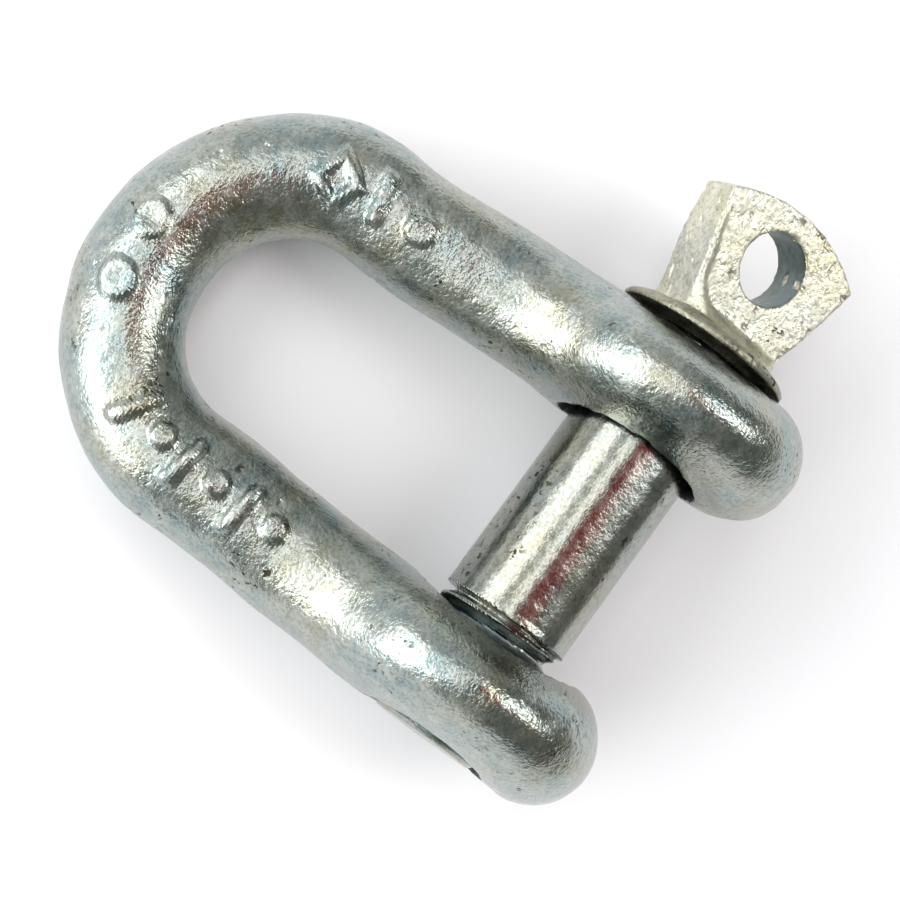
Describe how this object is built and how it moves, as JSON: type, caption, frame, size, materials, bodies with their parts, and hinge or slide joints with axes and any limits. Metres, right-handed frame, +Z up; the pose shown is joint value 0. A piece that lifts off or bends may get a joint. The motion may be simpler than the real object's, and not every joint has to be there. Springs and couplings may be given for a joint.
{
  "type": "screw pin shackle",
  "caption": "Galvanised D-shaped shackle: a bent round bar with two eyes, closed by a screw pin with a collar and a flat pierced head.",
  "frame": {"origin": "on the ground under the middle of the box round the whole shackle as it lies on its side", "axes": "+X along the pin towards its head, +Y from the pin towards the crown of the bow, +Z up"},
  "size_m": [0.0516, 0.0563, 0.0248],
  "materials": {
    "forged_zinc": "hot-dip galvanised forged steel, wavy satin",
    "pin_zinc": "galvanised turned steel, satin"
  },
  "bodies": {
    "forged_body": {"shackle_body": "forged_zinc"},
    "pin_carrier": {"pin_shank": "pin_zinc"},
    "screw_pin": {"pin_eye": "pin_zinc", "pin_thread": "pin_zinc"}
  },
  "joints": [
    {"name": "pin_travel", "type": "slide", "parent": "forged_body", "child": "pin_carrier", "axis": [1, 0, 0], "range_m": [-0.00019, 0.042]},
    {"name": "pin_turn", "type": "hinge", "parent": "pin_carrier", "child": "screw_pin", "pos_m": [0, -0.01578, 0.0124], "axis": [1, 0, 0], "range_deg": [-40, 8641]}
  ],
  "couplings": [
    {"joint": "pin_turn", "follows": "pin_travel", "rad_per_m": 3590.4}
  ]
}
